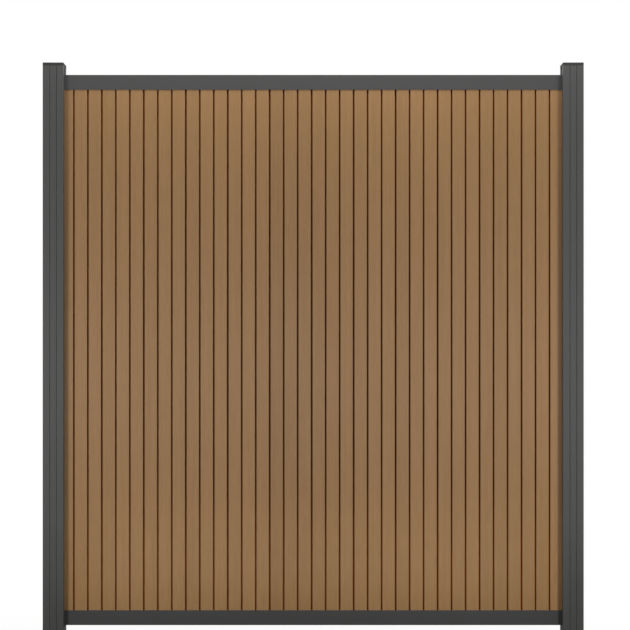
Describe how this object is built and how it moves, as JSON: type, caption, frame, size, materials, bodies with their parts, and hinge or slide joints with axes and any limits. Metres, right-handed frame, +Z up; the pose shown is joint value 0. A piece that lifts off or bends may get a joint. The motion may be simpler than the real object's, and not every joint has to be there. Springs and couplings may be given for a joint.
{
  "type": "composite garden screen",
  "caption": "Freestanding garden screen: upright grooved composite boards between dark metal rails, held in slotted square posts with flat caps.",
  "frame": {"origin": "on the ground, midway between the two posts and in the middle of their depth", "axes": "+Z up, +X along the screen to the right as seen from the front, -Y out of the grooved front"},
  "size_m": [1.9586, 0.075, 2.091],
  "materials": {
    "composite": "brushed matt wood composite",
    "post_coating": "matt dark grey powder coat",
    "rail_coating": "matt dark grey powder coat",
    "cap_plastic": "fine textured dark grey moulding"
  },
  "bodies": {
    "root": {"board_01": "composite", "board_02": "composite", "board_03": "composite", "board_04": "composite", "board_05": "composite", "board_06": "composite", "board_07": "composite", "board_08": "composite", "board_09": "composite", "board_10": "composite", "board_11": "composite", "board_12": "composite", "top_rail": "rail_coating", "bottom_rail": "rail_coating", "left_post": "post_coating", "left_front_strip": "post_coating", "left_back_strip": "post_coating", "left_outer_strip": "post_coating", "left_lower_strip": "post_coating", "left_post_cap": "cap_plastic", "right_post": "post_coating", "right_front_strip": "post_coating", "right_back_strip": "post_coating", "right_outer_strip": "post_coating", "right_lower_strip": "post_coating", "right_post_cap": "cap_plastic"}
  },
  "joints": []
}
